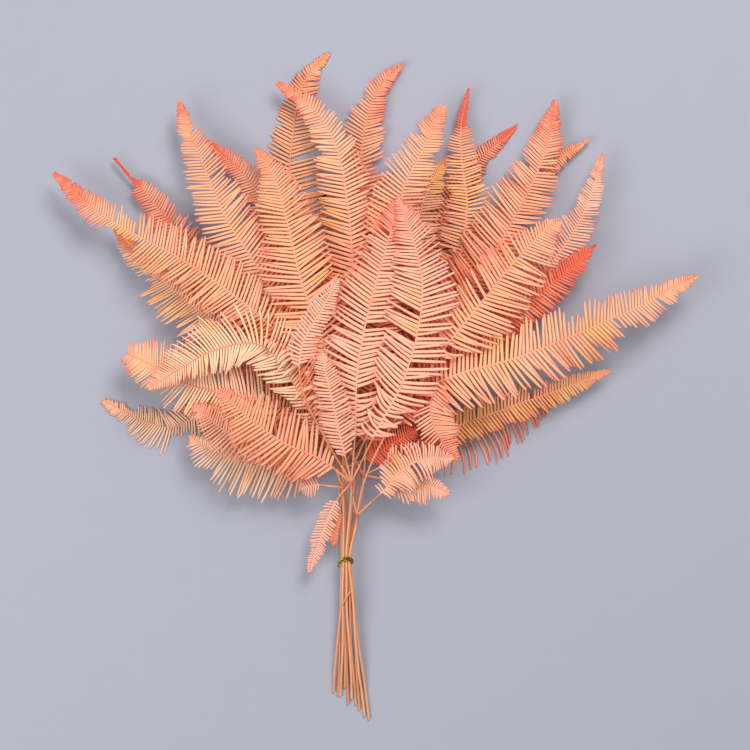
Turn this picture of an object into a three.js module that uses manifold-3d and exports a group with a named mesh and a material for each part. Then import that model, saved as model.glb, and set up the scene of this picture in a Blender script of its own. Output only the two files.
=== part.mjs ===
// A bunch of forked fern fronds, dried and dyed peach, lying on its back on a table.
// Each frond is a thin stem that forks into short branches, and every branch carries one
// comb-like leaf. A twisted wire holds the stems together.
// X runs across the bunch, Y from the cut ends to the leaf tips, Z up. Millimetres.
import * as THREE from 'three';
import Module from 'manifold-3d';

const wasm = await Module();
wasm.setup();

// ---------------------------------------------------------------- driving dimensions
const TIE = { x: -22, y: -131, z: 13.5 };      // middle of the bundle where the wire goes round
const BUNDLE_STEP = 2.1;                        // from one stem to the next inside the wire
const STEM = { cutRadius: 0.95, tieRadius: 0.95, forkRadius: 0.85, branchRadius: 0.7 };
const BRANCH_LENGTH = 15;                       // of the stem's own branch below each leaf
const LEAF_GAP = 0.35;                          // between a branch end and its leaf
const LEAF = { midrib: 1.2, stalkRadius: 0.7, toothPitch: 7.5, notch: 0.6, slant: 0.3 };
const PILE = { height: 64, tipHeight: 36, openAt: 135, droopFrom: 200, droopTo: 390 };
const CUT = { step: 3.1, reach: 120, downAt: 98 };  // how the stems splay below the wire
const WIRE = { radius: 0.45, turns: 2.3, pitch: 1.2, tilt: 2.2, acrossX: 5.0, acrossZ: 4.2 };

const COLOUR = {
  leaf: [0xf4b48e, 0.8, 0],
  pale: [0xf3c4aa, 0.82, 0],
  coral: [0xee8f70, 0.78, 0],
  stem: [0xc9844f, 0.6, 0],
  wire: [0x8a6a20, 0.35, 0.9],
};

// ---------------------------------------------------------------- small tools
const lerp = (a, b, t) => a + (b - a) * t;
const smooth = (t) => THREE.MathUtils.smoothstep(t, 0, 1);

function material([colour, roughness, metalness]) {
  return new THREE.MeshStandardMaterial({ color: colour, roughness, metalness });
}

function solid(positions, triangles) {
  const geometry = new THREE.BufferGeometry();
  geometry.setAttribute('position', new THREE.Float32BufferAttribute(positions, 3));
  geometry.setIndex(triangles);
  return geometry;
}

// Rings of points, all with the same count, skinned into one closed body.
function skin(rings) {
  const count = rings[0].length;
  const positions = [];
  const triangles = [];
  for (const ring of rings) for (const p of ring) positions.push(p.x, p.y, p.z);
  for (let r = 0; r + 1 < rings.length; r += 1) {
    for (let i = 0; i < count; i += 1) {
      const a = r * count + i;
      const b = r * count + ((i + 1) % count);
      triangles.push(a, b, b + count, a, b + count, a + count);
    }
  }
  const last = (rings.length - 1) * count;
  for (let i = 1; i + 1 < count; i += 1) {
    triangles.push(0, i + 1, i, last, last + i, last + i + 1);
  }
  return solid(positions, triangles);
}

// A round rod along a list of points, with a radius for each point.
function rod(points, radii, sides) {
  const rings = [];
  let across = new THREE.Vector3(1, 0, 0);
  points.forEach((point, i) => {
    const before = points[Math.max(i - 1, 0)];
    const after = points[Math.min(i + 1, points.length - 1)];
    const along = after.clone().sub(before).normalize();
    if (i === 0 && Math.abs(along.x) > 0.8) across.set(0, 0, 1);
    across = across.clone().addScaledVector(along, -across.dot(along)).normalize();
    const up = along.clone().cross(across);
    const ring = [];
    for (let k = 0; k < sides; k += 1) {
      const turn = (k / sides) * 2 * Math.PI;
      ring.push(point.clone()
        .addScaledVector(across, radii[i] * Math.cos(turn))
        .addScaledVector(up, radii[i] * Math.sin(turn)));
    }
    rings.push(ring);
  });
  return skin(rings);
}

function joined(geometries) {
  const bodies = geometries.map((g) => new wasm.Manifold(new wasm.Mesh({
    numProp: 3,
    vertProperties: new Float32Array(g.attributes.position.array),
    triVerts: new Uint32Array(g.index.array),
  })));
  const mesh = wasm.Manifold.union(bodies).getMesh();
  return solid(Array.from(mesh.vertProperties), Array.from(mesh.triVerts));
}

// ---------------------------------------------------------------- how the bunch lies
// level 0 is the underside of the pile and level 1 its top. The pile is thin at the wire,
// opens into a soft dome over the leaves and comes down again towards the tips.
function pileHeight(level, x, y) {
  const reach = Math.hypot(x - TIE.x, y - TIE.y);
  const open = smooth(reach / PILE.openAt);
  const droop = smooth((reach - PILE.droopFrom) / (PILE.droopTo - PILE.droopFrom));
  const underside = (TIE.z - BUNDLE_STEP) * (1 - smooth(reach / 110));
  return underside + lerp(5, lerp(PILE.height, PILE.tipHeight, droop), open) * level;
}

// Inside the wire the stems lie in three rows. The first number is the place along the row in
// stem widths and the second is the row.
const SLOTS = [[0, -1], [-1, -1], [1, -1], [0.5, 0], [-0.5, 0], [-1.5, 0], [1.5, 0],
  [-1, 1], [1, 1], [0, 1]];

// One row per frond, from the bottom of the pile to the top. fork is where the stem divides.
// cut is the place of the cut end in the side-by-side row, with the length of stem below the wire.
// A leaf is its name, the curve of its midrib beyond the fork, the bare length before the first
// lobes and its widths to the left and to the right of the midrib. A longer branch is stated, and
// so is the leaf that a second, turned-back leaf springs off. stub is a broken side stalk: its
// distance below the wire and the points it passes.
const FRONDS = [
  { fork: [-17, -62], cut: [4, 108], leaves: [
    ['leaf_1', [[-35, -5], [-57, 50], [-66, 130], [-62, 190], [-54, 229], [-36, 250]], 100, 22, 31],
    ['leaf_2', [[6, 20], [36, 88], [57, 138], [77, 169], [106, 196]], 110, 13, 14],
    ['leaf_3', [[10, -46], [40, -42], [66, -38], [94, -24], [138, -4]], 62, 14, 24],
    ['leaf_4', [[-60, -26], [-112, -10], [-136, -24], [-156, -31], [-178, -24], [-206, -10]],
      70, 20, 14, { tint: 'pale' }],
  ] },
  { fork: [-25, -57], cut: [1, 101], leaves: [
    ['leaf_1', [[-18, 10], [-11, 80], [-10, 145], [-9, 190], [2, 223], [20, 242]], 70, 21, 21],
    ['leaf_2', [[-60, 0], [-110, 60], [-151, 118], [-172, 144], [-184, 157], [-196, 171]], 90, 15, 15,
      { tint: 'coral' }],
    ['leaf_3', [[10, 0], [60, 70], [104, 132], [132, 166], [160, 185]], 120, 13, 13],
    ['leaf_4', [[6, 30], [24, 90], [33, 128], [41, 152], [55, 172]], 110, 15, 17, { tint: 'pale' }],
  ] },
  { fork: [-12, -59], cut: [7, 112], leaves: [
    ['leaf_1', [[16, -16], [48, 45], [68, 130], [64, 172], [64, 196], [70, 224]], 60, 18, 19],
    ['leaf_2', [[-70, 6], [-121, 48], [-144, 66], [-164, 84], [-195, 120]], 70, 24, 14,
      { tint: 'pale' }],
    ['leaf_3', [[18, -48], [55, -32], [101, -15], [144, 0], [175, 12]], 55, 12, 13],
  ] },
  { fork: [-15, -51], cut: [6, 108], leaves: [
    ['leaf_1', [[24, 12], [70, 71], [100, 120], [123, 165], [131, 195], [134, 214]], 70, 27, 23],
    ['leaf_2', [[-40, 20], [-62, 88], [-84, 139], [-105, 165], [-128, 184]], 60, 17, 17],
    ['leaf_3', [[-50, -56], [-100, -54], [-124, -47], [-137, -36]], 30, 26, 15, { tint: 'pale' }],
    ['leaf_4', [[-32, -42], [-50, -28], [-66, -12], [-78, 6]], 20, 13, 13, { tint: 'coral' }],
    ['leaf_5', [[2, -45], [20, -34], [38, -20], [52, -8]], 20, 12, 14, { tint: 'coral' }],
  ] },
  { fork: [-22, -47], cut: [3, 95], leaves: [
    ['leaf_1', [[-19, 12], [-17, 79], [-21, 138], [-30, 179], [-45, 205], [-74, 227]], 40, 22, 19],
    ['leaf_2', [[36, -10], [92, 45], [137, 100], [157, 134], [169, 174]], 80, 16, 17],
    ['leaf_3', [[-70, -16], [-112, -5], [-140, 2], [-160, 13], [-184, 24]], 45, 22, 25,
      { blunt: true }],
  ] },
  { fork: [-27, -62], cut: [0, 99], leaves: [
    ['leaf_1', [[-52, 20], [-86, 86], [-110, 123], [-128, 165], [-142, 197], [-146, 212]], 60, 22, 22],
    ['leaf_2', [[5, -20], [47, 12], [90, 46], [134, 78], [164, 106]], 60, 20, 19, { tint: 'coral' }],
    ['leaf_3', [[-70, -42], [-105, -36], [-135, -14]], 30, 18, 18],
    ['leaf_4', [[-8, -54], [10, -44], [30, -31]], 24, 13, 13, { tint: 'coral' }],
  ] },
  { fork: [-9, -66], cut: [9, 119.5], leaves: [
    ['leaf_1', [[-60, 26], [-98, 62], [-142, 93], [-186, 117], [-216, 137], [-239, 159]], 70, 22, 21],
    ['leaf_2', [[-1, 20], [12, 110], [20, 145], [33, 172], [50, 208]], 60, 21, 18, { blunt: true }],
    ['leaf_3', [[14, -70], [32, -72], [55, -79]], 18, 9, 14, { tint: 'pale' }],
    ['leaf_4', [[8, -58], [24, -53], [50, -47]], 18, 11, 8, { tint: 'pale' }],
  ] },
  { fork: [-24, -75], cut: [2, 102], leaves: [
    ['leaf_1', [[-26, -20], [-38, 30], [-55, 79], [-64, 116], [-74, 152], [-88, 176]], 60, 26, 26],
    ['leaf_2', [[4, -22], [55, 7], [100, 20], [151, 40], [196, 60], [238, 82]], 60, 22, 26],
    ['leaf_3', [[-48, -20], [-84, 30], [-117, 27], [-142, 14], [-168, -2]], 70, 22, 24],
    ['leaf_4', [[-34, -74], [-44, -73], [-56, -76]], 17, 8, 8],
    ['leaf_5', [[-27, -92], [-30, -106], [-30, -120]], 17, 3, 6, { tint: 'coral' }],
  ] },
  { fork: [-14, -96], cut: [8, 117], stub: [21, [-20, -154.5, 15.9], [-22.5, -158.5, 16.4],
    [-25.4, -163.5, 15.8]], leaves: [
    ['leaf_1', [[-9, -72], [6, -38], [34, 4], [53, 31], [80, 65], [115, 106], [136, 123]], 142, 20, 28,
      { branch: 128 }],
    ['leaf_2', [[45, 4], [40, -14], [44, -32], [52, -45], [61, -54]], 14, 15, 12,
      { branch: 6, off: 'leaf_1' }],
    ['leaf_3', [[7, -76], [18, -63], [34, -54], [57, -52]], 32, 13, 16, { tint: 'pale' }],
    ['leaf_4', [[-22, -60], [-32, -28], [-48, 4], [-66, 27], [-82, 36]], 90, 16, 3],
  ] },
  { fork: [-18, -71], cut: [5, 104], leaves: [
    ['leaf_1', [[-15, -30], [-13, 15], [-4, 60], [6, 96], [18, 140]], 50, 24, 24],
    ['leaf_2', [[2, -30], [20, 4], [31, 42], [34, 76], [28, 106], [16, 138]], 58, 24, 24],
    ['leaf_3', [[-40, -54], [-66, -42], [-94, -22], [-114, -2]], 18, 24, 23],
    ['leaf_4', [[-24, -45], [-31, -14], [-40, 26]], 24, 12, 12, { tint: 'pale' }],
    ['leaf_5', [[-30, -86], [-39, -108], [-50, -139]], 16, 7, 7, { tint: 'pale' }],
    ['leaf_6', [[-36, -40], [-54, 0], [-54, 28], [-39, 57], [-27, 79]], 96, 10, 10, { tint: 'pale' }],
  ] },
];

// ---------------------------------------------------------------- one frond
function slotOf(frond) {
  const [along, row] = SLOTS[frond];
  return new THREE.Vector3(TIE.x + along * BUNDLE_STEP, TIE.y, TIE.z + row * BUNDLE_STEP);
}

// Height of a point of this frond: its place in the wire near the tie, its own level beyond it.
function heightOf(frond, level, x, y) {
  const reach = Math.hypot(x - TIE.x, y - TIE.y);
  return lerp(slotOf(frond).z, pileHeight(level, x, y), smooth(reach / 62));
}

const levelOf = (frond) => (frond + 0.5) / FRONDS.length;

// The lowest leaves lie flat on the table and the top ones spread a little further apart.
function leafLevel(frond, place, count) {
  if (frond === 0) return 0;
  const spread = frond === FRONDS.length - 1 ? 0.2 : 0.075;
  return levelOf(frond) + spread * ((place + 0.5) / count - 0.5);
}

const branchOf = (leaf) => leaf[5]?.branch ?? BRANCH_LENGTH;

// Midrib of a leaf in plan, with its branch, from where it springs to the tip.
function midrib(frond, leaf) {
  const { fork, leaves } = FRONDS[frond];
  const start = new THREE.Vector3(...fork, 0);
  if (leaf[5]?.off) {
    const bearer = leaves.find(([name]) => name === leaf[5].off);
    const bearerCurve = midrib(frond, bearer);
    start.copy(bearerCurve.getPointAt((branchOf(bearer) - 2) / bearerCurve.getLength()));
  }
  const plan = [start, ...leaf[1].map(([x, y]) => new THREE.Vector3(x, y, 0))];
  const curve = new THREE.CatmullRomCurve3(plan, false, 'centripetal');
  curve.arcLengthDivisions = 400;
  return curve;
}

function stemSolid(frond) {
  const { fork, cut, stub, leaves } = FRONDS[frond];
  const slot = slotOf(frond);
  const endX = TIE.x + 3 + (cut[0] - 4.5) * CUT.step;
  const points = [];
  const radii = [];
  for (let i = 0; i <= 6; i += 1) {             // from the cut end up to the wire
    const below = cut[1] * (1 - i / 6);
    const splay = below / CUT.reach;
    points.push(new THREE.Vector3(
      lerp(slot.x, endX, splay ** 1.15), TIE.y - below,
      lerp(slot.z, STEM.cutRadius, Math.min(1, below / CUT.downAt) ** 1.6)));
    radii.push(lerp(STEM.tieRadius, STEM.cutRadius, splay));
  }
  for (let i = 1; i <= 6; i += 1) {             // from the wire up to the fork
    const t = i / 6;
    const x = lerp(slot.x, fork[0], t * t * (3 - 2 * t));
    const y = lerp(slot.y, fork[1], t);
    points.push(new THREE.Vector3(x, y, heightOf(frond, levelOf(frond), x, y)));
    radii.push(lerp(STEM.tieRadius, STEM.forkRadius, t));
  }
  const pieces = [rod(points, radii, 8)];
  if (stub) {
    const [below, ...route] = stub;
    const splay = below / CUT.reach;
    const root = new THREE.Vector3(lerp(slot.x, endX, splay ** 1.15), TIE.y - below,
      lerp(slot.z, STEM.cutRadius, Math.min(1, below / CUT.downAt) ** 1.6));
    const line = [root, ...route.map((p) => new THREE.Vector3(...p))];
    pieces.push(rod(line, line.map((_, i) => lerp(0.75, 0.5, i / (line.length - 1))), 6));
  }
  for (const leaf of leaves) {
    const curve = midrib(frond, leaf);
    const length = curve.getLength();
    const steps = Math.max(3, Math.round(branchOf(leaf) / 14));
    const branch = [];
    for (let i = 0; i <= steps; i += 1) {
      const p = curve.getPointAt((branchOf(leaf) * i) / steps / length);
      branch.push(p.setZ(heightOf(frond, levelOf(frond), p.x, p.y)));
    }
    pieces.push(rod(branch, branch.map(() => STEM.branchRadius), 6));
  }
  return joined(pieces);
}

// Width of a leaf along its lobed part: full soon after the first lobes, then a long taper, or
// a broad end where the tip has broken off.
function fullness(t, blunt) {
  const start = smooth(0.5 + t * 4);
  const taper = blunt ? 0.72 * (Math.max(t - 0.6, 0) / 0.4) ** 2
    : 0.94 * (Math.max(t - 0.5, 0) / 0.5) ** 1.7;
  return start * (1 - taper);
}

function leafSolid(frond, place) {
  const { leaves } = FRONDS[frond];
  const [, , bare, left, right, options = {}] = leaves[place];
  const curve = midrib(frond, leaves[place]);
  const length = curve.getLength();
  const from = branchOf(leaves[place]) + LEAF_GAP;
  const level = leafLevel(frond, place, leaves.length);
  const lobesFrom = Math.min(Math.max(bare, from + 3), length * 0.6);
  const stations = [];
  const stalkSteps = Math.max(1, Math.round((lobesFrom - from) / 16));
  for (let i = 0; i < stalkSteps; i += 1) {
    stations.push([lerp(from, lobesFrom, i / stalkSteps), 0, 0]);
  }
  const teeth = 2 * Math.round((length - lobesFrom) / LEAF.toothPitch / 2) + 1;
  for (let i = 0; i <= teeth; i += 1) {
    const t = i / teeth;
    const width = fullness(t, options.blunt) * (i % 2 === 0 ? LEAF.notch : 1);
    stations.push([lerp(lobesFrom, length, t), width, t]);
  }
  const rings = stations.map(([s, width, t]) => {
    const centre = curve.getPointAt(Math.min(s / length, 1));
    const along = curve.getTangentAt(Math.min(s / length, 1));
    const here = lerp(levelOf(frond), level, smooth((s - from) / 25));
    const across = new THREE.Vector3(-along.y, along.x, 0);
    const stalk = width === 0;
    const thick = stalk ? 2 * LEAF.stalkRadius : lerp(LEAF.midrib, 0.5, t);
    const drop = stalk ? LEAF.stalkRadius : 0;
    const height = (p) => Math.max(heightOf(frond, here, p.x, p.y), drop);
    const edge = (side, reach) => {
      const p = centre.clone().addScaledVector(across, side * reach)
        .addScaledVector(along, stalk ? 0 : LEAF.slant * reach);
      return p.setZ(height(p));
    };
    const middle = height(centre);
    const top = centre.clone().setZ(middle + thick - drop);
    const bottom = centre.clone().setZ(middle - drop);
    const reach = (full) => (stalk ? LEAF.stalkRadius : Math.max(width * full, 0.4));
    return [bottom, edge(1, reach(left)), top, edge(-1, reach(right))];
  });
  return skin(rings);
}

// ---------------------------------------------------------------- wire tie
function wireTie() {
  const coil = [];
  const steps = Math.round(WIRE.turns * 16);
  const centre = new THREE.Vector3(TIE.x, TIE.y, TIE.z);
  for (let i = 0; i <= steps; i += 1) {
    const turn = (i / 16) * 2 * Math.PI;
    coil.push(new THREE.Vector3(
      centre.x + WIRE.acrossX * Math.cos(turn),
      centre.y + WIRE.pitch * (i / 16 - WIRE.turns / 2) + WIRE.tilt * Math.sin(turn),
      centre.z + WIRE.acrossZ * Math.sin(turn)));
  }
  const end = coil.at(-1);
  const strand = (phase) => {
    const points = [];
    for (let i = 0; i <= 14; i += 1) {
      const turn = phase + i * 0.9;
      const hook = Math.sin((i / 14) * 2.4);
      points.push(new THREE.Vector3(
        end.x - 4.6 * hook + 0.4 * Math.cos(turn), end.y - 0.55 * i,
        end.z + 0.3 + 0.4 * Math.sin(turn)));
    }
    return rod(points, points.map(() => WIRE.radius), 6);
  };
  return joined([rod(coil, coil.map(() => WIRE.radius), 6), strand(0), strand(Math.PI)]);
}

// ---------------------------------------------------------------- the whole bunch
const bunch = new THREE.Group();

function add(name, geometry, colour) {
  const mesh = new THREE.Mesh(geometry, material(colour));
  mesh.name = name;
  bunch.add(mesh);
}

FRONDS.forEach((row, frond) => {
  const name = `frond_${String(frond + 1).padStart(2, '0')}`;
  add(`${name}_stem`, stemSolid(frond), COLOUR.stem);
  row.leaves.forEach(([leaf, , , , , options], place) => {
    add(`${name}_${leaf}`, leafSolid(frond, place), COLOUR[options?.tint ?? 'leaf']);
  });
});
add('wire_tie', wireTie(), COLOUR.wire);

// The origin is the middle of the bottom of the box round the whole bunch.
const box = new THREE.Box3().setFromObject(bunch);
const middle = box.getCenter(new THREE.Vector3());
for (const mesh of bunch.children) mesh.geometry.translate(-middle.x, -middle.y, -box.min.z);

export default bunch;
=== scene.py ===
import math

import bpy
import numpy as np
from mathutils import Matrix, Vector


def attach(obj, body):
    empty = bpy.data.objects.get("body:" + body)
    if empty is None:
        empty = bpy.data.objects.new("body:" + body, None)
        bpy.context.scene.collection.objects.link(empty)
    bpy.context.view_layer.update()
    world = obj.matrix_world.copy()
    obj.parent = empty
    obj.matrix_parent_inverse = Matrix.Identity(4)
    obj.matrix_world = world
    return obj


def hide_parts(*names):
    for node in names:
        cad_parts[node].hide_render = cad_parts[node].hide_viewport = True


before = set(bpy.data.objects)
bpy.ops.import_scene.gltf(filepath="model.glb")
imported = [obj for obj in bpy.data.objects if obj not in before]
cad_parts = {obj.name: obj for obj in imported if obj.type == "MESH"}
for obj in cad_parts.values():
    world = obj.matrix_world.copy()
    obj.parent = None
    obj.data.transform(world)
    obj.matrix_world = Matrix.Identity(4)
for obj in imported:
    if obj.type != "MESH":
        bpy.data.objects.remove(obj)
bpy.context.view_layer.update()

# ---------------------------------------------------------------- table, light and camera
# The bunch lies on its back on a pale studio table. One wide soft lamp stands over the leaf tips
# and a weaker one fills from the other side. The camera looks straight down on the middle.
TABLE_SIZE = 6.0
LENS = 135.0                      # millimetres, a long lens, so near and far leaves keep their size
VIEW_WIDTH = 0.555                # metres of table across the picture
VIEW_HEIGHT_OF_PILE = 0.033       # the level inside the pile at which that width holds


def linear(red, green, blue):
    """A colour as paint charts give it, 0 to 255, turned into the light values shaders use."""
    parts = [c / 255 for c in (red, green, blue)]
    return tuple(c / 12.92 if c <= 0.04045 else ((c + 0.055) / 1.055) ** 2.4 for c in parts)


class Value:
    """A shader socket that takes part in Python sums. Each operator adds one Math node."""

    def __init__(self, tree, socket=None):
        self.tree, self.socket = tree, socket

    def node(self, kind, settings=None, sockets=None, output=0):
        """Adds a node: its settings first, then the values or links of its sockets."""
        made = self.tree.nodes.new("ShaderNode" + kind)
        for key, setting in (settings or {}).items():
            if key == "stops":
                ramp = made.color_ramp.elements
                while len(ramp) < len(setting):
                    ramp.new(0.5)
                for stop, (place, colour) in zip(ramp, setting):
                    stop.position, stop.color = place, (*colour, 1)
            else:
                setattr(made, key, setting)
        for key, value in (sockets or {}).items():
            if isinstance(value, Value):
                self.tree.links.new(value.socket, made.inputs[key])
            elif isinstance(value, tuple) and len(value) == 3 and made.inputs[key].type == "RGBA":
                made.inputs[key].default_value = (*value, 1)
            else:
                made.inputs[key].default_value = value
        return Value(self.tree, made.outputs[output])

    def sum(self, operation, *values):
        return self.node("Math", {"operation": operation}, dict(enumerate(values)))

    def __add__(self, other):
        return self.sum("ADD", self, other)

    def __radd__(self, other):
        return self.sum("ADD", other, self)

    def __sub__(self, other):
        return self.sum("SUBTRACT", self, other)

    def __rsub__(self, other):
        return self.sum("SUBTRACT", other, self)

    def __mul__(self, other):
        return self.sum("MULTIPLY", self, other)

    def __rmul__(self, other):
        return self.sum("MULTIPLY", other, self)

    def __pow__(self, other):
        return self.sum("POWER", self, other)

    def ramp(self, low, high, to_low=0.0, to_high=1.0):
        """Runs smoothly from one value to another while this one goes from low to high."""
        return self.node("MapRange", {"interpolation_type": "SMOOTHSTEP"},
                         {0: self, 1: low, 2: high, 3: to_low, 4: to_high})

    def blend(self, first, second):
        """Colour that is first where this value is 0 and second where it is 1."""
        return self.node("Mix", {"data_type": "RGBA"}, {0: self, 6: first, 7: second}, output=2)

    def attribute(self, name, output):
        return self.node("Attribute", {"attribute_name": name}, output=output)

    def noise(self, place, scale, detail=3.0, roughness=0.5, distortion=0.0):
        return self.node("TexNoise", {"noise_dimensions": "3D"}, {
            "Vector": place, "Scale": scale, "Detail": detail, "Roughness": roughness,
            "Distortion": distortion})


def new_material(name):
    made = bpy.data.materials.new(name)
    made.use_nodes = True
    made.node_tree.nodes.clear()
    return made, Value(made.node_tree)


def finish_material(shader, tree):
    output = tree.tree.nodes.new("ShaderNodeOutputMaterial")
    tree.tree.links.new(shader.socket, output.inputs["Surface"])


table_paint, paint = new_material("studio_table")
paint_grain = paint.noise(paint.node("TexCoord", output=3), 60.0, 4.0)
finish_material(paint.node("BsdfPrincipled", None, {
    "Base Color": (paint_grain * 0.5).blend(linear(154, 154, 165), linear(158, 158, 169)),
    "Roughness": 0.75}), paint)

table_mesh = bpy.data.meshes.new("studio_table")
half = TABLE_SIZE / 2
table_mesh.from_pydata([(-half, -half, -0.0004), (half, -half, -0.0004), (half, half, -0.0004),
                        (-half, half, -0.0004)], [], [(0, 1, 2, 3)])
table_mesh.materials.append(table_paint)
table = bpy.data.objects.new("studio_table", table_mesh)
bpy.context.collection.objects.link(table)


def soft_lamp(name, place, width, watts, colour):
    lamp = bpy.data.lights.new(name, "AREA")
    lamp.shape, lamp.size, lamp.size_y, lamp.energy, lamp.color = (
        "RECTANGLE", width, width, watts, colour)
    holder = bpy.data.objects.new(name, lamp)
    holder.location = place
    holder.rotation_euler = (Vector((0, 0, 0)) - Vector(place)).to_track_quat("-Z", "Y").to_euler()
    bpy.context.collection.objects.link(holder)


soft_lamp("main_lamp", (0.45, 1.0, 1.6), 0.8, 30.5, (1.0, 0.985, 0.97))
soft_lamp("fill_lamp", (-1.0, -0.5, 1.4), 1.2, 20.0, (0.97, 0.985, 1.0))
sky = bpy.data.worlds.new("studio")
sky.use_nodes = True
sky.node_tree.nodes["Background"].inputs["Color"].default_value = (0.92, 0.95, 1.0, 1)
sky.node_tree.nodes["Background"].inputs["Strength"].default_value = 0.42
bpy.context.scene.world = sky
bpy.context.scene.view_settings.view_transform = "Standard"

lens = bpy.data.cameras.new("camera")
lens.lens, lens.sensor_width = LENS, 36.0
camera = bpy.data.objects.new("camera", lens)
camera.location = (0.0, 0.0082, VIEW_HEIGHT_OF_PILE + VIEW_WIDTH * LENS / 36.0)
bpy.context.collection.objects.link(camera)
bpy.context.scene.camera = camera

# ---------------------------------------------------------------- how the bunch lies
# Ten cut fronds lie on each other in a soft heap. The heap is thin at the wire, swells over the
# leaves and comes down again to the tips. All lengths here are millimetres until a mesh is made.
MM = 0.001
TIE = (-22.0, -131.0, 13.5)       # middle of the bundle where the wire goes round
BUNDLE_STEP = 2.1                 # from one stem to the next inside the wire
ORIGIN = (-0.53, 0.26)            # middle of the whole bunch, which the frame puts at its origin
FRONDS = 10
HEAP_HIGH, TIPS_HIGH = 64.0, 36.0             # the heap over the leaves, and at the leaf tips
DROOP_FROM, DROOP_OVER = 200, 190             # where the heap starts to come down, and how far
OPENS_OVER, LIFTED_OVER, LEAVES_WIRE_OVER = 135, 110, 62   # distances from the wire
THIN_HEAP = 5.0                               # how thick the heap is beside the wire
SLOTS = [(0, -1), (-1, -1), (1, -1), (0.5, 0), (-0.5, 0), (-1.5, 0), (1.5, 0), (-1, 1), (1, 1),
         (0, 1)]                  # places of the stems in the wire: along the row, and the row
FORKS = [(-17, -62), (-25, -57), (-12, -59), (-15, -51), (-22, -47), (-27, -62), (-9, -66),
         (-24, -75), (-14, -96), (-18, -71)]


def smooth(t):
    t = np.clip(t, 0.0, 1.0)
    return t * t * (3 - 2 * t)


def lerp(a, b, t):
    return a + (b - a) * t


def level_of(frond):
    return (frond + 0.5) / FRONDS


def height_of(frond, level, x, y):
    """Height of a point of this frond, on level 0 (underside of the heap) to 1 (its top)."""
    reach = np.hypot(x - TIE[0], y - TIE[1])
    top = lerp(HEAP_HIGH, TIPS_HIGH, smooth((reach - DROOP_FROM) / DROOP_OVER))
    underside = (TIE[2] - BUNDLE_STEP) * (1 - smooth(reach / LIFTED_OVER))
    heap = underside + lerp(THIN_HEAP, top, smooth(reach / OPENS_OVER)) * level
    in_wire = TIE[2] + SLOTS[frond][1] * BUNDLE_STEP
    return lerp(in_wire, heap, smooth(reach / LEAVES_WIRE_OVER))


def curve_through(points, step=1.0):
    """Evenly spaced points on the smooth curve through the given ones, with the distance of
    each along it."""
    p = [np.array(q, float) for q in points]
    p = [2 * p[0] - p[1], *p, 2 * p[-1] - p[-2]]
    pieces = []
    for a, b, c, d in zip(p, p[1:], p[2:], p[3:]):
        ab, bc, cd = (np.sqrt(np.linalg.norm(v)) for v in (b - a, c - b, d - c))
        leave = ((b - a) / ab - (c - a) / (ab + bc) + (c - b) / bc) * bc
        arrive = ((c - b) / bc - (d - b) / (bc + cd) + (d - c) / cd) * bc
        t = np.linspace(0, 1, 80, endpoint=False)[:, None]
        pieces.append(b + leave * t + (3 * (c - b) - 2 * leave - arrive) * t ** 2
                      + (2 * (b - c) + leave + arrive) * t ** 3)
    dense = np.vstack([*pieces, p[-2][None]])
    far = np.concatenate([[0], np.cumsum(np.linalg.norm(np.diff(dense, axis=0), axis=1))])
    even = np.linspace(0, far[-1], max(int(far[-1] / step), 8) + 1)
    return even, np.column_stack([np.interp(even, far, dense[:, k]) for k in range(2)])


def at(far, values, s):
    """Values along a curve, read at the distances s."""
    return np.column_stack([np.interp(s, far, values[:, k]) for k in range(values.shape[1])])


def tube(path, radii, sides, flat=1.0):
    """Rings of points round a path, as an array of rings by sides by 3."""
    path, radii = np.asarray(path, float), np.asarray(radii, float)
    along = np.gradient(path, axis=0)
    along /= np.linalg.norm(along, axis=1)[:, None]
    across = np.cross(along, (0.0, 0.0, 1.0))
    across /= np.linalg.norm(across, axis=1)[:, None]
    up = np.cross(across, along)
    turn = np.arange(sides) / sides * 2 * math.pi
    return (path[:, None] + radii[:, None, None] * (
        across[:, None] * np.cos(turn)[None, :, None]
        + up[:, None] * np.sin(turn)[None, :, None] * flat))


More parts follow.
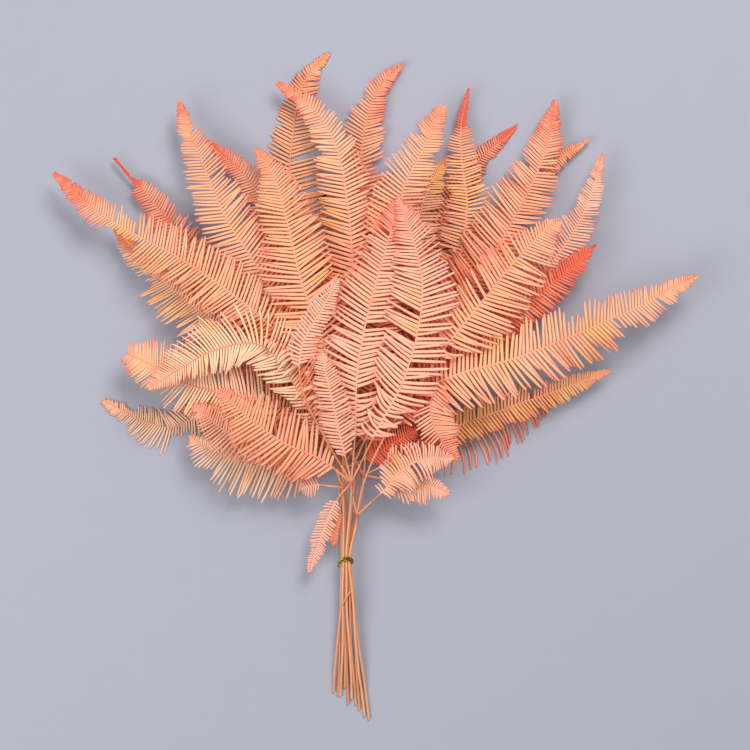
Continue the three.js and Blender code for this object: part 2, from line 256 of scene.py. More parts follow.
class Piece:
    """Collects rings of points as closed skins, with the numbers each point carries for its
    colour and a place on the piece's own flat map for each corner."""

    def __init__(self, name):
        self.name, self.points, self.faces, self.flat = name, [], [], []
        self.carried = {}

    def skin(self, rings, patch, **carried):
        """rings is rings by sides by 3. patch is the rectangle on the flat map."""
        count, sides = rings.shape[:2]
        first = sum(len(p) for p in self.points)
        self.points.append(rings.reshape(-1, 3))
        for key, value in carried.items():
            wide = (3,) if key in ("lobe", "dye", "run") else ()
            full = np.broadcast_to(value, (count, sides) + wide)
            self.carried.setdefault(key, []).append(full.reshape((count * sides,) + wide))
        left, low, right, high = patch
        across = np.linspace(left, right, sides + 1)
        along = np.linspace(low, lerp(low, high, 0.96), count)
        for j in range(count - 1):
            for i in range(sides):
                k = (i + 1) % sides
                a, b = first + j * sides, first + (j + 1) * sides
                self.faces.append((a + i, a + k, b + k, b + i))
                self.flat += [(across[i], along[j]), (across[i + 1], along[j]),
                              (across[i + 1], along[j + 1]), (across[i], along[j + 1])]
        last = first + (count - 1) * sides
        for ends, middle in ((range(first + sides - 1, first - 1, -1), 0.25),
                             (range(last, last + sides), 0.75)):
            self.faces.append(tuple(ends))
            for i in range(sides):
                turn = i / sides * 2 * math.pi
                self.flat.append((lerp(left, right, middle + 0.1 * math.cos(turn)),
                                  lerp(low, high, 0.985 + 0.01 * math.sin(turn))))

    def build(self, *materials):
        points = np.vstack(self.points)
        points[:, 0] -= ORIGIN[0]
        points[:, 1] -= ORIGIN[1]
        mesh = bpy.data.meshes.new(self.name)
        mesh.from_pydata((points * MM).tolist(), [], self.faces)
        for key, lists in self.carried.items():
            values = np.concatenate(lists)
            kind = "FLOAT" if values.ndim == 1 else "FLOAT_VECTOR"
            layer = mesh.attributes.new(key, kind, "POINT")
            layer.data.foreach_set("value" if kind == "FLOAT" else "vector",
                                   values.astype(np.float32).ravel())
        layer = mesh.uv_layers.new(name="OFBake")
        layer.uv.foreach_set("vector", np.array(self.flat, np.float32).ravel())
        mesh.polygons.foreach_set("use_smooth", np.ones(len(mesh.polygons), bool))
        for material in materials:
            mesh.materials.append(material)
        made = bpy.data.objects.new(self.name, mesh)
        bpy.context.collection.objects.link(made)
        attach(made, "root")
        return made


# ---------------------------------------------------------------- leaves
# Each leaf is a thin midrib with close, narrow lobes down both sides, like a comb. The lobes are
# grown in one piece with it, dried with curled edges, and dyed unevenly: peach for the most part,
# coral in patches and at the ends, cream where the dye was thin.
# A row is the frond, its leaf, the curve of the midrib beyond the fork, the bare length before
# the wide lobes, the widths to the left and right, the spacing of the lobes, the dye, and what is
# special about it. Parts of a leaf are given from 0 at its base to 1 at its tip:
#   taper, blunt    where it starts to narrow, or how far its broad end narrows
#   lean, bend      how far lobes point to the tip at their foot, and turn towards it further out
#   fill, lost      how much of the spacing a lobe takes up, and the share of lobes that fell off
#   worn            stretches of shorter lobes: from, to, side, length left
#   withered        from where the end is shrunk and dark, and the length left
#   late, droop     lobes start only where they are wide, or the lowest ones hang back
#   rib             how brown the midrib is
#   branch, off     its own branch length, and the leaf whose stalk it grows from
BRANCH = 15.0                     # length of the stem's own branch below a leaf
LOBE_LEAN, LOBE_BEND, LOBE_FILL, LOBE_LOST = 0.3, 0.05, 0.78, 0.015
LOBE_THICK = 0.22
DYES = {                          # how much coral, cream, rose and gold each dye lot has
    "peach": (0.22, 0.3, 0.25, 0.1), "salmon": (0.45, 0.1, 0.4, 0.05),
    "coral": (0.95, 0.0, 0.1, 0.0), "cream": (0.08, 0.8, 0.2, 0.2),
    "rose": (0.14, 0.15, 0.8, 0.0), "pale": (0.0, 0.45, 0.75, 0.0),
    "gold": (0.16, 0.45, 0.0, 0.55)}
LEAVES = [
    (0, 1, [(-35, -5), (-57, 50), (-66, 130), (-62, 190), (-54, 229), (-36, 250)],
     100, 22, 31, 3.5, "peach", {"taper": 0.36}),
    (0, 2, [(6, 20), (36, 88), (57, 138), (77, 169), (106, 196)], 110, 13, 14, 3.0, "salmon", {}),
    (0, 3, [(10, -46), (40, -42), (66, -38), (94, -24), (138, -4)], 62, 14, 24, 4.4, "salmon",
     {"bend": -0.35, "fill": 0.5}),
    (0, 4, [(-60, -26), (-112, -10), (-136, -24), (-156, -31), (-178, -24), (-206, -10)],
     70, 20, 14, 2.3, "cream", {"worn": [(0.5, 0.6, 1, 0.4), (0.8, 0.86, -1, 0.5)]}),
    (1, 1, [(-18, 10), (-11, 80), (-10, 145), (-9, 190), (2, 223), (20, 242)],
     70, 21, 21, 3.4, "salmon", {"worn": [(0.6, 0.64, -1, 0.5)]}),
    (1, 2, [(-60, 0), (-110, 60), (-151, 118), (-172, 144), (-184, 157), (-196, 171)],
     90, 15, 15, 2.9, "salmon", {"withered": (0.84, 0.28)}),
    (1, 3, [(10, 0), (60, 70), (104, 132), (132, 166), (160, 185)], 120, 13, 13, 3.0, "gold",
     {"bend": -0.3}),
    (1, 4, [(6, 30), (24, 90), (33, 128), (41, 152), (55, 172)], 110, 15, 17, 2.8, "gold", {}),
    (2, 1, [(16, -16), (48, 45), (68, 130), (64, 172), (64, 196), (70, 224)],
     60, 18, 19, 3.0, "peach", {"lean": 0.1, "withered": (0.84, 0.55)}),
    (2, 2, [(-70, 6), (-121, 48), (-144, 66), (-164, 84), (-195, 120)], 70, 24, 14, 2.5, "cream",
     {"worn": [(0.7, 0.76, 1, 0.5)]}),
    (2, 3, [(18, -48), (55, -32), (101, -15), (144, 0), (175, 12)], 55, 12, 13, 2.8, "gold",
     {"worn": [(0.55, 0.62, 1, 0.5)]}),
    (3, 1, [(24, 12), (70, 71), (100, 120), (123, 165), (131, 195), (134, 214)],
     70, 27, 23, 3.2, "salmon", {}),
    (3, 2, [(-40, 20), (-62, 88), (-84, 139), (-105, 165), (-128, 184)], 60, 17, 17, 3.0,
     "salmon", {}),
    (3, 3, [(-50, -56), (-100, -54), (-124, -47), (-137, -36)], 30, 26, 15, 2.7, "cream",
     {"rib": 0.75}),
    (3, 4, [(-32, -42), (-50, -28), (-66, -12), (-78, 6)], 20, 13, 13, 2.4, "coral", {}),
    (3, 5, [(2, -45), (20, -34), (38, -20), (52, -8)], 20, 12, 14, 2.5, "coral", {}),
    (4, 1, [(-19, 12), (-17, 79), (-21, 138), (-30, 179), (-45, 205), (-74, 227)],
     40, 22, 19, 3.5, "peach", {}),
    (4, 2, [(36, -10), (92, 45), (137, 100), (157, 134), (169, 174)], 80, 16, 17, 3.0, "rose", {}),
    (4, 3, [(-70, -16), (-112, -5), (-140, 2), (-160, 13), (-184, 24)], 45, 22, 25, 2.6, "cream",
     {"blunt": 0.72, "rib": 0.8}),
    (5, 1, [(-52, 20), (-86, 86), (-110, 123), (-128, 165), (-142, 197), (-146, 212)],
     60, 22, 22, 3.2, "peach", {}),
    (5, 2, [(5, -20), (47, 12), (90, 46), (134, 78), (164, 106)], 60, 20, 19, 3.1, "coral",
     {"withered": (0.94, 0.4)}),
    (5, 3, [(-70, -42), (-105, -36), (-135, -14)], 30, 18, 18, 2.8, "salmon", {}),
    (5, 4, [(-8, -54), (10, -44), (30, -31)], 24, 13, 13, 2.3, "coral", {}),
    (6, 1, [(-60, 26), (-98, 62), (-142, 93), (-186, 117), (-216, 137), (-239, 159)],
     70, 22, 21, 3.0, "peach", {"worn": [(0.68, 0.78, 1, 0.35), (0.7, 0.75, -1, 0.6)]}),
    (6, 2, [(-1, 20), (12, 110), (20, 145), (33, 172), (50, 208)], 60, 21, 18, 3.4, "peach",
     {"blunt": 0.86}),
    (6, 3, [(14, -70), (32, -72), (55, -79)], 18, 9, 14, 2.1, "pale", {"fill": 0.92}),
    (6, 4, [(8, -58), (24, -53), (50, -47)], 18, 11, 8, 2.1, "pale", {"fill": 0.92}),
    (7, 1, [(-26, -20), (-38, 30), (-55, 79), (-64, 116), (-74, 152), (-88, 176)],
     60, 26, 26, 3.5, "peach", {}),
    (7, 2, [(4, -22), (55, 7), (100, 20), (151, 40), (196, 60), (238, 82)],
     60, 22, 26, 3.4, "peach", {"worn": [(0.58, 0.64, 1, 0.55), (0.68, 0.78, -1, 0.75)]}),
    (7, 3, [(-48, -20), (-84, 30), (-117, 27), (-142, 14), (-168, -2)], 70, 17, 24, 2.6, "cream",
     {"bend": 0.16, "rib": 0.85}),
    (7, 4, [(-34, -74), (-44, -73), (-56, -76)], 17, 8, 8, 1.9, "rose", {}),
    (7, 5, [(-27, -92), (-30, -106), (-30, -120)], 17, 3, 6, 1.8, "coral", {}),
    (8, 1, [(-9, -72), (6, -38), (34, 4), (53, 31), (80, 65), (115, 106), (136, 123)],
     142, 20, 28, 3.3, "peach", {"branch": 128, "droop": True}),
    (8, 2, [(45, 4), (40, -14), (44, -32), (52, -45), (61, -54)], 14, 15, 12, 2.6, "salmon",
     {"branch": 6, "off": 1}),
    (8, 3, [(7, -76), (18, -63), (34, -54), (57, -52)], 32, 13, 16, 2.1, "pale",
     {"bend": -0.2, "fill": 0.92}),
    (8, 4, [(-22, -60), (-32, -28), (-48, 4), (-66, 27), (-82, 36)], 90, 16, 3, 4.0, "cream",
     {"lost": 0.45, "bend": -0.3, "rib": 1.0}),
    (9, 1, [(-15, -30), (-13, 15), (-4, 60), (6, 96), (18, 140)], 50, 24, 24, 3.5, "rose",
     {"droop": True}),
    (9, 2, [(2, -30), (20, 4), (31, 42), (34, 76), (28, 106), (16, 138)], 58, 24, 24, 3.4, "rose",
     {"droop": True}),
    (9, 3, [(-40, -54), (-66, -42), (-94, -22), (-114, -2)], 18, 24, 23, 3.4, "salmon", {}),
    (9, 4, [(-24, -45), (-31, -14), (-40, 26)], 24, 12, 12, 2.7, "rose", {}),
    (9, 5, [(-30, -86), (-39, -108), (-50, -139)], 16, 7, 7, 2.2, "rose", {}),
    (9, 6, [(-36, -40), (-54, 0), (-54, 28), (-39, 57), (-27, 79)], 96, 10, 10, 2.6, "rose",
     {"late": True}),
]
ROWS = {(row[0], row[1]): row for row in LEAVES}


def midrib(frond, place):
    """Curve of a leaf's midrib in plan, with its branch: distances along it and points."""
    route, special = ROWS[frond, place][2], ROWS[frond, place][8]
    start = FORKS[frond]
    if "off" in special:
        bearer = ROWS[frond, special["off"]]
        far, line = midrib(frond, special["off"])
        start = tuple(at(far, line, [bearer[8]["branch"] - 2.0])[0])
    return curve_through([start, *route])


def leaf_level(frond, place):
    if frond == 0:
        return 0.0
    count = sum(row[0] == frond for row in LEAVES)
    spread = 0.2 if frond == FRONDS - 1 else 0.075
    return level_of(frond) + spread * ((place - 0.5) / count - 0.5)


def fullness(t, special):
    """Width along the lobed part: full at once, then a long taper or a broad broken end."""
    start = np.maximum(smooth(0.5 + t * 4), 0.5)
    begins = special.get("taper", 0.5)
    taper = (special["blunt"] * (np.maximum(t - 0.55, 0) / 0.45) ** 2 if "blunt" in special
             else 0.94 * (np.maximum(t - begins, 0) / (1 - begins)) ** 1.5)
    return start * (1 - taper)


LOBE_PLACES = np.array([0.0, 0.04, 0.12, 0.34, 0.62, 0.84, 0.95, 1.0])
LOBE_WIDTHS = np.array([1.36, 1.18, 1.02, 1.0, 0.98, 0.88, 0.66, 0.16])
STATIONS = len(LOBE_PLACES)
RING_ACROSS = np.array([-1.0, -0.5, 0.0, 0.5, 1.0, 0.0])


def leaf_outline(row):
    """Where a leaf lies in plan: its level, points along its midrib and its width there."""
    frond, place, route, bare, left, right, pitch, dye, special = row
    far, line = midrib(frond, place)
    wide_from = min(bare, far[-1] * 0.6)
    s = np.arange(wide_from * 0.5 + 9, far[-1], 3.0)
    width = fullness((s - wide_from) / (far[-1] - wide_from), special) * (left + right) / 2
    return leaf_level(frond, place), at(far, line, s), width


OUTLINES = [leaf_outline(row) for row in LEAVES]


def covered(level, rings):
    """How far points lie beneath other leaves, for painted shade: the colour there is deepened to
    red-orange as if in the shadow of the leaves above.
    """
    points = rings[..., :2].reshape(-1, 2)
    bare = np.ones(len(points))
    for other, line, width in OUTLINES:
        if other > level + 0.02:
            gap = np.linalg.norm(points[:, None] - line[None], axis=2)
            nearest = gap.argmin(axis=1)
            inside = smooth((width[nearest] - gap[np.arange(len(points)), nearest]) / 7 + 0.3)
            bare *= 1 - 0.6 * inside
    return (1 - bare).reshape(rings.shape[:-1])


def lay_leaf(row):
    frond, place, route, bare, left, right, pitch, dye, special = row
    chance = np.random.default_rng(100 * frond + place)
    far, line = midrib(frond, place)
    length = far[-1]
    tangent = np.gradient(line, axis=0)
    tangent /= np.linalg.norm(tangent, axis=1)[:, None]
    start = special.get("branch", BRANCH) - 1.0
    wide_from = min(max(bare, start + 4.3), length * 0.6)
    lobes_from = max(start + 4.3, min(wide_from, wide_from * 0.5 + 9))
    if special.get("late"):
        lobes_from = wide_from
    level = leaf_level(frond, place)

    def level_at(s):
        return lerp(level_of(frond), level, smooth((s - start) / 25))

    # where each lobe grows: closer together towards the tip, a few lost or snapped short
    seats, sides = [], []
    for side in (1, -1):
        s = lobes_from + (0.0 if side > 0 else 0.5 * pitch)
        while s < length - 0.6:
            t = max(s - wide_from, 0) / (length - wide_from)
            seats.append(s)
            sides.append(side)
            s += pitch * lerp(1.0, 0.5, t ** 2.5) * chance.uniform(0.94, 1.06)
    kept = chance.random(len(seats)) > special.get("lost", LOBE_LOST)
    seats, sides = np.array(seats)[kept], np.array(sides)[kept]
    count = len(seats)
    t = (seats - wide_from) / (length - wide_from)
    reach = 1.05 * fullness(t, special) * np.where(sides > 0, left, right)
    reach *= chance.normal(1.0, 0.055, count)
    reach *= np.where(chance.random(count) < 0.04, chance.uniform(0.5, 0.85, count), 1.0)
    nibbled = np.sin(seats * 0.19 + 7 * chance.random() + sides) \
        * np.sin(seats * 0.071 + 7 * chance.random())
    reach *= 1 - 0.3 * np.maximum(nibbled, 0) ** 2 * smooth((t - 0.3) / 0.3)
    for begin, end, side, left_over in special.get("worn", []):
        reach *= np.where((t > begin) & (t < end) & (sides == side),
                          left_over * chance.uniform(0.8, 1.2, count), 1.0)
    withers, left_over = special.get("withered", (2.0, 1.0))
    dry = smooth((t - withers) / 0.05)
    reach = np.maximum(reach * lerp(1.0, left_over, dry), 0.9)
    drift = 0.05 * np.sin(seats * 0.11 + 6.3 * chance.random()) \
        + 0.035 * np.sin(seats * 0.27 + 6.3 * chance.random())
    lean = special.get("lean", LOBE_LEAN) + drift + chance.normal(0, 0.03, count)
    lean += 0.35 * np.clip(t - 0.6, 0, 1)
    bend = special.get("bend", LOBE_BEND) + chance.normal(0, 0.04, count)
    if special.get("droop"):                 # the lowest lobes hang back and curl round
        slack = smooth((0.2 - t) / 0.25)
        lean -= 0.45 * slack * chance.uniform(0.4, 1.4, count)
        bend += 0.5 * slack * chance.uniform(0.3, 1.5, count)
    twist = chance.normal(0.28, 0.24, count) * -sides
    sag = chance.normal(0.03, 0.06, count)
    fill = lerp(special.get("fill", LOBE_FILL), 1.05, smooth((t - 0.78) / 0.2))
    half_width = 0.5 * fill * pitch * lerp(1.0, 0.5, np.clip(t, 0, 1) ** 2.5)
    half_width *= chance.normal(1.0, 0.05, count)

    # the lobes: a bent, twisted blade each, with rolled edges and a groove over its vein
    foot = at(far, line, seats)
    ahead = at(far, tangent, seats)
    aside = np.column_stack([-ahead[:, 1], ahead[:, 0]]) * sides[:, None]
    v = LOBE_PLACES[None, :, None]
    out = (0.25 + reach)[:, None, None]
    centre = (foot[:, None] + aside[:, None] * out * v
              + ahead[:, None] * out * (lean[:, None, None] * v + bend[:, None, None] * v ** 2))
    heading = np.gradient(centre, axis=1)
    heading /= np.linalg.norm(heading, axis=2)[..., None]
    beside = np.stack([-heading[..., 1], heading[..., 0]], axis=2)
    width = half_width[:, None] * LOBE_WIDTHS[None] * chance.normal(1.0, 0.04, (count, STATIONS))
    roll = twist[:, None] * smooth(LOBE_PLACES * 1.6)[None]
    a = RING_ACROSS[None, None, :]
    half_span = a * (width * np.cos(roll))[..., None]
    plan = centre[:, :, None] + beside[:, :, None] * half_span[..., None]
    base = height_of(frond, level_at(seats)[:, None, None], plan[..., 0], plan[..., 1])
    arch = (1.1 * np.sin(LOBE_PLACES * 2.6)[None]
            - out[..., 0] * sag[:, None] * LOBE_PLACES[None] ** 2
            + chance.normal(0, 0.12, (count, STATIONS)) * LOBE_PLACES[None])
    curl = np.array([-0.42, -0.04, -0.14, -0.04, -0.42, -0.14 - LOBE_THICK])
    up = (0.55 + arch[..., None] + (width * np.sin(roll))[..., None] * a
          + curl[None, None] * np.minimum(width / 1.3, 1.1)[..., None])
    height = np.maximum(base + up, 0.12 + 0.25 * (a * 0 + (np.arange(6) != 5)))
    rings = np.concatenate([plan, height[..., None]], axis=3)

    piece = Piece(f"fern_leaf_{frond + 1:02d}_{place}")
    lot = np.array(DYES[dye]) + chance.normal(0, 0.04, 4)
    columns = int(2 * math.sqrt(count)) + 1
    lines = math.ceil(count / columns)
    tall = 0.93 / lines
    carried_number = chance.random(count)
    for k in range(count):
        column, line_number = k % columns, k // columns
        patch = ((column + 0.06) / columns, 0.07 + (line_number + 0.04) * tall,
                 (column + 0.94) / columns, 0.07 + (line_number + 0.96) * tall)
        across = np.broadcast_to(RING_ACROSS, (STATIONS, 6))
        lobe = np.stack([across * sides[k], np.broadcast_to(LOBE_PLACES[:, None], (STATIONS, 6)),
                         np.full((STATIONS, 6), carried_number[k])], axis=2)
        ring = rings[k] if sides[k] < 0 else rings[k][:, ::-1]
        lobe = lobe if sides[k] < 0 else lobe[:, ::-1]
        piece.skin(ring, patch, lobe=lobe, along=t[k], rib=0.0, gold=lot[3],
                   dye=lot[:3] + np.array([0.7, 0, 0]) * dry[k], covered=covered(level, ring))

    # the midrib, with the bare stalk below it
    s = np.arange(start, length + 0.5, 2.2)
    s[-1] = length
    spine = at(far, line, s)
    lobed = smooth((s - lobes_from + 6) / 12)
    radius = lerp(0.68, lerp(0.6, 0.24, (s / length) ** 1.5), lobed)
    radius *= 1 + 0.05 * np.sin(s * 1.3 + frond) * np.sin(s * 0.37)
    z = np.maximum(height_of(frond, level_at(s), spine[:, 0], spine[:, 1]), 0.55) + 0.45 * lobed
    rib_rings = tube(np.column_stack([spine, z]), radius, 8)
    where = np.stack([np.broadcast_to(np.cos(np.arange(8) / 8 * 2 * math.pi), (len(s), 8)),
                      np.broadcast_to((s / 10)[:, None], (len(s), 8)),
                      np.full((len(s), 8), 0.5)], axis=2)
    piece.skin(rib_rings, (0.005, 0.005, 0.995, 0.06), lobe=where, dye=lot[:3], gold=lot[3],
               along=((s - wide_from) / (length - wide_from))[:, None],
               rib=lerp(1.0, special.get("rib", 0.5), lobed)[:, None],
               covered=covered(level, rib_rings))
    return piece


dyed_leaf, leaf = new_material("dyed_leaf")
across_lobe = leaf.node("SeparateXYZ", None, {0: leaf.attribute("lobe", 1)})
up_lobe = Value(leaf.tree, across_lobe.socket.node.outputs[1])
lobe_number = Value(leaf.tree, across_lobe.socket.node.outputs[2])
lots = leaf.node("SeparateXYZ", None, {0: leaf.attribute("dye", 1)})
coral_lot, cream_lot, rose_lot = (Value(leaf.tree, lots.socket.node.outputs[k]) for k in range(3))
along_leaf = leaf.attribute("along", 2)
rib = leaf.attribute("rib", 2)
gold = leaf.attribute("gold", 2)
# painted shade: how far each point lies beneath other leaves
painted_shade_under = leaf.attribute("covered", 2)
place_in_heap = leaf.node("TexCoord", output=3)
on_lobe = leaf.node("CombineXYZ", None, {0: across_lobe * 2.2, 1: up_lobe * 3.0,
                                         2: lobe_number * 60.0})
fibre_place = leaf.node("CombineXYZ", None, {0: across_lobe * 9.0, 1: up_lobe * 1.6,
                                             2: lobe_number * 40.0})
blotches = leaf.noise(place_in_heap, 38.0, 4.0, 0.6, 0.4)
patches = leaf.noise(place_in_heap, 12.0, 2.0)
gold_spots = leaf.noise(place_in_heap, 21.0, 3.0, 0.55, 0.6)
mottle = leaf.noise(on_lobe, 3.2, 5.0, 0.62)
fibres = leaf.noise(fibre_place, 2.0, 4.0, 0.6)
tip_of_leaf = along_leaf.ramp(0.7, 1.05)
tip_of_lobe = up_lobe.ramp(0.5, 1.0)
coral = (coral_lot * 0.8 + (patches - 0.5) * 1.1 + (blotches - 0.5) * 1.0 + (mottle - 0.5) * 0.4
         + tip_of_leaf * 0.3 + tip_of_lobe * 0.22 + (lobe_number - 0.5) * 0.2).ramp(0.15, 1.05)
cream = (cream_lot + (patches - 0.5) * -0.8 + (mottle - 0.5) * 0.4
         - tip_of_leaf * 0.2).ramp(0.1, 1.1)
rose = (rose_lot + (blotches - 0.5) * 0.6 + tip_of_lobe * 0.3 + tip_of_leaf * 0.2).ramp(0.1, 1.15)
leaf_colour = cream.blend(linear(241, 164, 122), linear(243, 198, 160))
leaf_colour = rose.blend(leaf_colour, linear(241, 178, 153))
leaf_colour = (gold_spots + gold * 0.22).ramp(0.56, 0.76, 0.0, 0.7).blend(leaf_colour, linear(240, 172, 92))
leaf_colour = coral.blend(leaf_colour, linear(230, 96, 70))
streak = (fibres - 0.5) * 0.5 + (mottle - 0.5) * 0.3
leaf_colour = streak.ramp(0.02, 0.26, 0.0, 0.5).blend(leaf_colour, linear(250, 218, 192))
leaf_colour = (streak * -1.0).ramp(0.03, 0.28, 0.0, 0.45).blend(leaf_colour, linear(206, 100, 62))
# Painted shade: the rolled edges of each lobe are darkened to red-brown, as if in shadow where they curl
# over.
curl_shade = (across_lobe * across_lobe).ramp(0.5, 1.0, 0.0, 0.62) * (1 - rib)
leaf_colour = curl_shade.blend(leaf_colour, linear(204, 86, 52))
foot_shade = up_lobe.ramp(0.0, 0.12, 0.3, 0.0) * (1 - rib)
leaf_colour = foot_shade.blend(leaf_colour, linear(222, 116, 76))
# Painted shade: where other leaves lie over a lobe, its colour is deepened to red-orange.
leaf_colour = (painted_shade_under * 0.9).blend(leaf_colour, linear(226, 86, 44))
rib_colour = mottle.blend(linear(248, 192, 172), linear(234, 154, 130))
rib_colour = (coral * coral_lot.ramp(0.1, 0.5, 0.4, 1.0)).blend(rib_colour, linear(222, 92, 70))
leaf_colour = rib.ramp(0.1, 0.5, 0.0, 0.85).blend(leaf_colour, rib_colour)
leaf_colour = rib.ramp(0.6, 0.95).blend(leaf_colour, fibres.blend(linear(186, 104, 62), linear(222, 150, 104)))
burnt = (lobe_number.ramp(0.9, 0.99) * up_lobe.ramp(0.84, 0.98) * (1 - rib)
         * mottle.ramp(0.35, 0.6)) * 0.85
leaf_colour = burnt.blend(leaf_colour, linear(112, 40, 32))
ripple = leaf.sum("SINE", up_lobe * 75.0 + leaf.sum("ABSOLUTE", across_lobe) * 4.0)
relief = ripple * 0.16 + fibres * 0.9 + mottle * 0.5
finish_material(leaf.node("BsdfPrincipled", None, {
    "Base Color": leaf_colour,
    "Roughness": mottle.ramp(0.25, 0.75, 0.58, 0.82),
    "Specular IOR Level": 0.35,
    "Normal": leaf.node("Bump", None, {"Strength": 0.35, "Distance": 0.00025, "Height": relief}),
}), leaf)

for row in LEAVES:
    laid = lay_leaf(row).build(dyed_leaf)
    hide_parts(f"frond_{row[0] + 1:02d}_leaf_{row[1]}")

# ---------------------------------------------------------------- stems
# Ten wiry stems, round and a little over two millimetres thick, cut off at the bottom with
# scissors. Each forks near the top, where a dry reddish bud sits, into short thinner branches.
# One stem still has the stub of a side stalk: where it starts below the wire, and its curve.
CUTS = [(4, 108), (1, 101), (7, 112), (6, 108), (3, 95), (0, 99), (9, 119.5), (2, 102),
        (8, 117), (5, 104)]       # place in the row of cut ends, and length below the wire
CUT_STEP = 3.1                    # from one cut end to the next
STEM_RADII = (0.94, 0.96, 0.85)   # at the cut end, in the wire and at the fork
BUD_RADIUS, BUD_LONG, BUD_RISE = 1.3, 3.2, 1.4
STUBS = {8: (21, (-20, -154.5, 15.9), (-22.5, -158.5, 16.4), (-25.4, -163.5, 15.8))}


def lay_stem(frond):
    chance = np.random.default_rng(900 + frond)
    place, cut_length = CUTS[frond]
    slot_x = TIE[0] + SLOTS[frond][0] * BUNDLE_STEP
    slot_z = TIE[2] + SLOTS[frond][1] * BUNDLE_STEP
    end_x = TIE[0] + 3 + (place - 4.5) * CUT_STEP
    fork = FORKS[frond]

    below = np.linspace(cut_length, 0, 60)
    splay = below / 120.0
    wander = np.sin(splay * 7 + 2.4 * frond) * 0.9 * smooth(splay * 3) * (1.25 - splay)
    low = np.column_stack([
        lerp(slot_x, end_x, splay ** 1.15) + wander, TIE[1] - below,
        lerp(slot_z, 0.98, np.minimum(1, below / 98.0) ** 1.6)])
    t = np.linspace(0, 1, 40)[1:]
    x = lerp(slot_x, fork[0], smooth(t))
    y = lerp(TIE[1], fork[1], t)
    high = np.column_stack([x, y, height_of(frond, level_of(frond), x, y)])
    path = np.vstack([low, high])
    far = np.concatenate([[0], np.cumsum(np.linalg.norm(np.diff(path, axis=0), axis=1))])
    radius = np.interp(far, [0, cut_length, far[-1]], STEM_RADII)
    radius *= 1 + 0.035 * np.sin(far * 0.21 + frond) + 0.02 * np.sin(far * 1.1 + 2 * frond)
    radius[0] *= 0.97
    count = len(path)
    piece = Piece(f"fern_stem_{frond + 1:02d}")

    def carry(rings, distance, red):
        count, sides = rings.shape[:2]
        around = np.arange(sides) / sides * 2 * math.pi
        run = np.stack([np.broadcast_to(np.cos(around), (count, sides)),
                        np.broadcast_to(np.sin(around), (count, sides)),
                        np.broadcast_to(distance[:, None], (count, sides))], axis=2)
        return {"run": run, "red": red[:, None], "cut": np.exp(-distance[:, None] / 1.6),
                "which": frond / 10}

    rings = tube(path, radius, 14)
    piece.skin(rings, (0.01, 0.01, 0.3, 0.99),
               **carry(rings, far, smooth((far - far[-1] + 14) / 14)))

    if frond in STUBS:
        below, *route = STUBS[frond]
        k = int(np.argmin(np.abs(path[:, 1] - (TIE[1] - below))))
        stub = np.array([path[k], *route])
        s = np.linspace(0, len(stub) - 1, 14)
        rings = tube(at(np.arange(len(stub)), stub, s), lerp(0.75, 0.5, s / s[-1]), 10)
        piece.skin(rings, (0.64, 0.65, 0.9, 0.95), **carry(rings, far[k] + s * 4, s * 0 + 0.5))

    branches = [row for row in LEAVES if row[0] == frond]
    for k, row in enumerate(branches):
        along, line = midrib(frond, row[1])
        s = np.linspace(0, row[8].get("branch", BRANCH), 14 if "branch" not in row[8] else 60)
        run = at(along, line, s)
        z = height_of(frond, level_of(frond), run[:, 0], run[:, 1])
        thick = 0.72 + 0.25 * np.exp(-s / 2.5)
        rings = tube(np.column_stack([run, z]), thick, 10)
        left = 0.34 + 0.62 * k / len(branches)
        piece.skin(rings, (left, 0.01, left + 0.55 / len(branches), 0.6),
                   **carry(rings, far[-1] + s, np.exp(-s / 7)))
    # the dormant bud in the fork: a small scaly cone
    tip = np.array([fork[0], fork[1], path[-1, 2]])
    rise = np.linspace(0, 1, 7)
    bud_path = tip + np.outer(rise, (chance.uniform(-0.5, 0.5), BUD_LONG, BUD_RISE)) - (0, 0.8, 0)
    bud_radius = BUD_RADIUS * np.sqrt(np.maximum(1 - rise ** 2, 0.005)) * (0.85 + 0.3 * rise)
    rings = tube(bud_path, bud_radius, 10)
    piece.skin(rings, (0.34, 0.65, 0.6, 0.95), **carry(rings, far[-1] + rise * 3, np.ones(7) * 1.3))
    return piece


dry_stem, stem = new_material("dry_stem")
run = stem.attribute("run", 1)
red = stem.attribute("red", 2)
cut = stem.attribute("cut", 2)
which = stem.attribute("which", 2)
strip = stem.node("VectorMath", {"operation": "MULTIPLY"}, {0: run, 1: (3.0, 3.0, 0.05)})
grain = stem.noise(strip, 2.4, 6.0, 0.65)
long_patches = stem.node("VectorMath", {"operation": "MULTIPLY"}, {0: run, 1: (0.8, 0.8, 0.22)})
spots = stem.noise(long_patches, 2.0, 4.0, 0.6)
rings_across = stem.node("VectorMath", {"operation": "MULTIPLY"}, {0: run, 1: (0.6, 0.6, 1.4)})
scars = stem.noise(rings_across, 0.7, 3.0, 0.5)
bark = (grain + (which - 0.5) * 0.25).ramp(0.28, 0.74).blend(linear(190, 116, 76),
                                                              linear(226, 164, 122))
bark = spots.ramp(0.55, 0.8, 0.0, 0.5).blend(bark, linear(168, 84, 48))
bark = scars.ramp(0.66, 0.78, 0.0, 0.5).blend(bark, linear(120, 62, 38))
bark = (red * 0.6).ramp(0.0, 1.0).blend(bark, linear(206, 92, 60))
bark = cut.ramp(0.35, 1.0).blend(bark, linear(226, 178, 128))
finish_material(stem.node("BsdfPrincipled", None, {
    "Base Color": bark,
    "Roughness": grain.ramp(0.2, 0.8, 0.42, 0.66),
    "Specular IOR Level": 0.45,
    "Normal": stem.node("Bump", None, {"Strength": 0.4, "Distance": 0.0002,
                                       "Height": grain + scars * 0.6}),
}), stem)

for frond in range(FRONDS):
    laid = lay_stem(frond).build(dry_stem)
    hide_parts(f"frond_{frond + 1:02d}_stem")

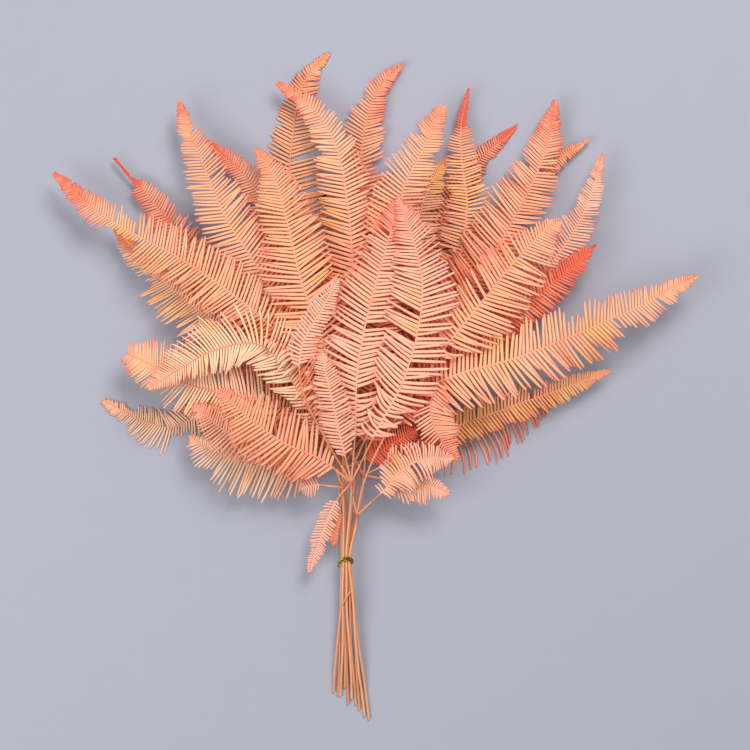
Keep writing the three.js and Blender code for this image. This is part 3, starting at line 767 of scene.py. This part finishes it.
# ---------------------------------------------------------------- wire tie
# Soft gilt wire, two strands twisted together, wound a little over twice round the stems. Its
# ends are twisted into a short tail.
WIRE_TURNS, WIRE_PITCH, WIRE_TILT, WIRE_ACROSS, WIRE_HIGH = 2.3, 1.2, 2.2, 5.0, 4.2
STRAND_RADIUS, STRAND_OFFSET, STRAND_TWIST = 0.32, 0.26, 1.1


def lay_wire():
    piece = Piece("wire_wrap")
    turn = np.linspace(0, WIRE_TURNS * 2 * math.pi, 220)
    coil = np.column_stack([
        TIE[0] + WIRE_ACROSS * np.cos(turn),
        TIE[1] + WIRE_PITCH * (turn / (2 * math.pi) - WIRE_TURNS / 2) + WIRE_TILT * np.sin(turn),
        TIE[2] + WIRE_HIGH * np.sin(turn)])
    t = np.linspace(0, 1, 70)[1:]
    end = coil[-1]
    tail = end + np.column_stack([-4.6 * np.sin(2.4 * t), -7.7 * t, 0.3 * np.sin(t * 3)])
    path = np.vstack([coil, tail])
    along = np.gradient(path, axis=0)
    along /= np.linalg.norm(along, axis=1)[:, None]
    inward = np.array([TIE[0], 0, TIE[2]]) - path * (1, 0, 1)
    inward /= np.linalg.norm(inward, axis=1)[:, None]
    beside = np.cross(along, inward)
    beside /= np.linalg.norm(beside, axis=1)[:, None]
    far = np.concatenate([[0], np.cumsum(np.linalg.norm(np.diff(path, axis=0), axis=1))])
    for strand in range(2):
        phase = far * STRAND_TWIST + strand * math.pi
        centre = path + STRAND_OFFSET * (inward * np.cos(phase)[:, None] + beside * np.sin(phase)[:, None])
        rings = tube(centre, np.full(len(path), STRAND_RADIUS), 8)
        piece.skin(rings, (0.02 + 0.5 * strand, 0.02, 0.48 + 0.5 * strand, 0.98),
                   wound=(far / far[-1])[:, None])
    return piece


gilt_wire, wire = new_material("gilt_wire")
tarnish = wire.noise(wire.node("TexCoord", output=3), 700.0, 5.0, 0.65)
wear = wire.noise(wire.node("TexCoord", output=3), 160.0, 3.0)
finish_material(wire.node("BsdfPrincipled", None, {
    "Base Color": (tarnish * 0.6 + wear * 0.5).ramp(0.42, 0.7).blend(linear(70, 56, 16),
                                                                     linear(220, 178, 60)),
    "Metallic": 0.9,
    "Roughness": tarnish.ramp(0.3, 0.7, 0.28, 0.5),
    "Normal": wire.node("Bump", None, {"Strength": 0.2, "Distance": 0.0001, "Height": tarnish}),
}), wire)
wrap = lay_wire().build(gilt_wire)
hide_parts("wire_tie")
